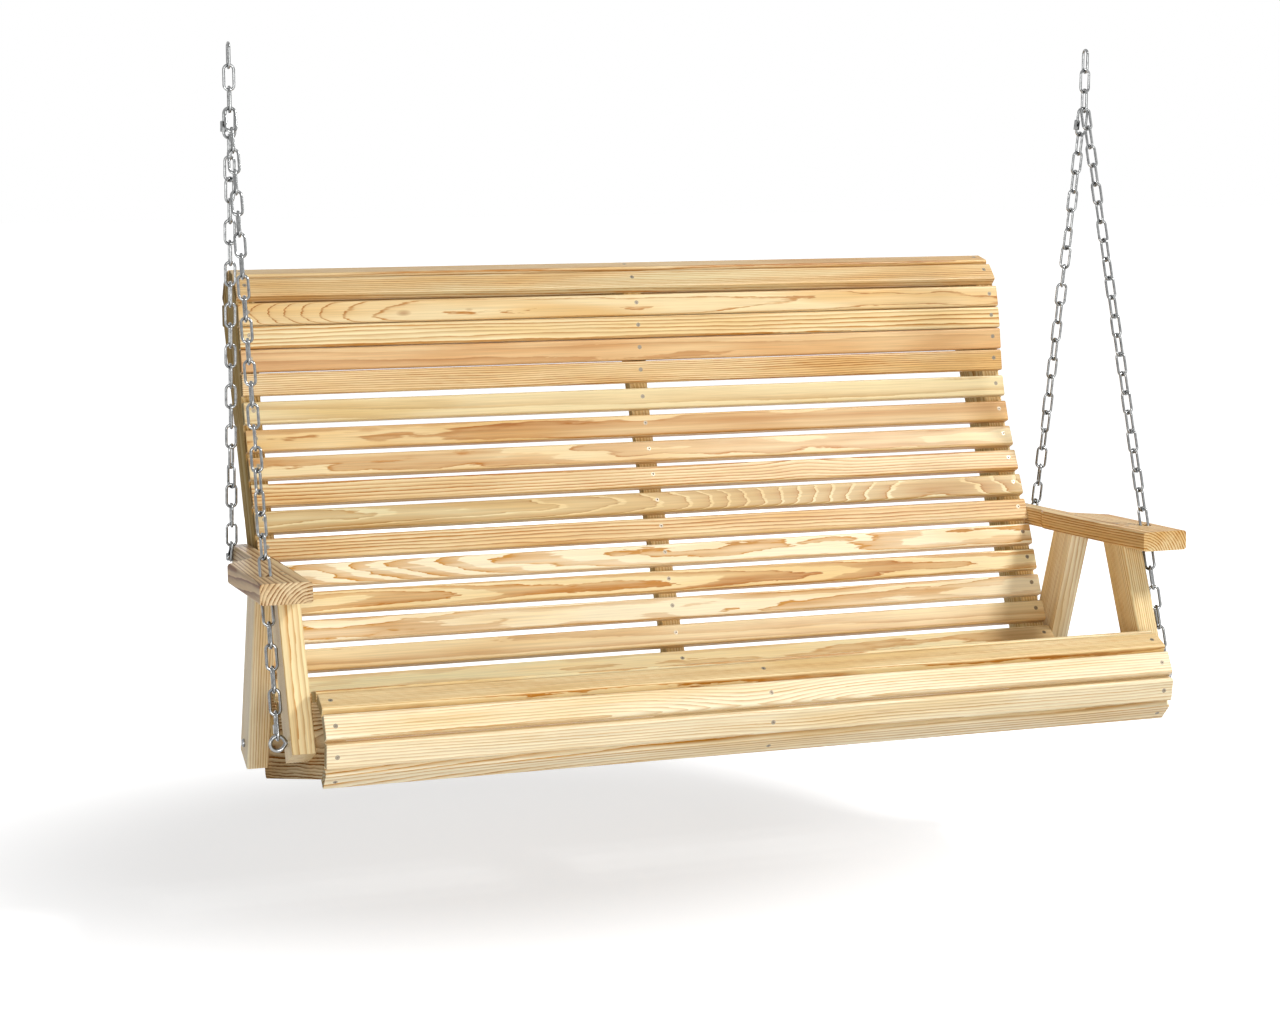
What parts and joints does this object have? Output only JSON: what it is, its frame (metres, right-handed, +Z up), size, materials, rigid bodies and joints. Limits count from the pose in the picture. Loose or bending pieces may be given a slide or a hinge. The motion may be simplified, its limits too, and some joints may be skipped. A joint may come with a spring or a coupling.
{
  "type": "porch_swing",
  "caption": "Hanging porch swing of pale pine slats on curved rib frames, with a rolled back top and seat front, flat arms on splayed posts and zinc-plated steel chains",
  "frame": {"origin": "midway between the two points where the top chain links rest on their hooks", "axes": "+X along the seat, to the right as seen from the front; +Y to the back; +Z up"},
  "size_m": [1.6958, 0.8995, 1.3004],
  "materials": {
    "pine_slats": "planed pine with eased edges, unfinished",
    "pine_frame": "sawn and sanded pine board, unfinished",
    "zinc_chain": "bright zinc plating on bent wire",
    "zinc_hardware": "zinc plating"
  },
  "bodies": {
    "hooks": {"left_top_link": "zinc_chain", "right_top_link": "zinc_chain"},
    "upper_chain": {"left_upper_links": "zinc_chain", "right_upper_links": "zinc_chain"},
    "swing": {"arm_screws": "zinc_hardware", "back_slat_01": "pine_slats", "back_slat_02": "pine_slats", "back_slat_03": "pine_slats", "back_slat_04": "pine_slats", "back_slat_05": "pine_slats", "back_slat_06": "pine_slats", "back_slat_07": "pine_slats", "back_slat_08": "pine_slats", "back_slat_09": "pine_slats", "back_slat_10": "pine_slats", "back_slat_11": "pine_slats", "back_slat_12": "pine_slats", "back_slat_13": "pine_slats", "back_slat_14": "pine_slats", "back_slat_15": "pine_slats", "back_slat_16": "pine_slats", "back_slat_17": "pine_slats", "back_slat_18": "pine_slats", "back_slat_19": "pine_slats", "centre_back_rib": "pine_frame", "centre_seat_rib": "pine_frame", "chain_bolts": "zinc_hardware", "eye_bolts": "zinc_hardware", "front_slat_01": "pine_slats", "front_slat_02": "pine_slats", "front_slat_03": "pine_slats", "front_slat_04": "pine_slats", "left_arm": "pine_frame", "left_back_rib": "pine_frame", "left_front_chain": "zinc_chain", "left_front_post": "pine_frame", "left_rear_chain": "zinc_chain", "left_rear_post": "pine_frame", "left_seat_rib": "pine_frame", "post_bolts": "zinc_hardware", "right_arm": "pine_frame", "right_back_rib": "pine_frame", "right_front_chain": "zinc_chain", "right_front_post": "pine_frame", "right_rear_chain": "zinc_chain", "right_rear_post": "pine_frame", "right_seat_rib": "pine_frame", "seat_slat_01": "pine_slats", "seat_slat_02": "pine_slats", "seat_slat_03": "pine_slats", "seat_slat_04": "pine_slats", "seat_slat_05": "pine_slats", "seat_slat_06": "pine_slats", "seat_slat_07": "pine_slats", "seat_slat_08": "pine_slats", "slat_screws": "zinc_hardware"},
    "left_front_sleeve": {"left_front_sleeve": "zinc_hardware"},
    "left_rear_sleeve": {"left_rear_sleeve": "zinc_hardware"},
    "right_front_sleeve": {"right_front_sleeve": "zinc_hardware"},
    "right_rear_sleeve": {"right_rear_sleeve": "zinc_hardware"}
  },
  "joints": [
    {"name": "swing", "type": "hinge", "parent": "hooks", "child": "upper_chain", "pos_m": [0, 0, -0.0343], "axis": [1, 0, 0], "range_deg": [-25, 25]},
    {"name": "seat_tilt", "type": "hinge", "parent": "upper_chain", "child": "swing", "pos_m": [0, 0, -0.1058], "axis": [1, 0, 0], "range_deg": [-12, 12]},
    {"name": "left_rear_sleeve_slide", "type": "slide", "parent": "swing", "child": "left_rear_sleeve", "axis": [-0.0111, -0.1739, 0.9847], "range_m": [0, 0.0125]},
    {"name": "left_front_sleeve_slide", "type": "slide", "parent": "swing", "child": "left_front_sleeve", "axis": [0.0056, 0.3246, 0.9458], "range_m": [0, 0.0105]},
    {"name": "right_rear_sleeve_slide", "type": "slide", "parent": "swing", "child": "right_rear_sleeve", "axis": [0.0111, -0.1739, 0.9847], "range_m": [0, 0.0125]},
    {"name": "right_front_sleeve_slide", "type": "slide", "parent": "swing", "child": "right_front_sleeve", "axis": [-0.0056, 0.3246, 0.9458], "range_m": [0, 0.0105]}
  ]
}
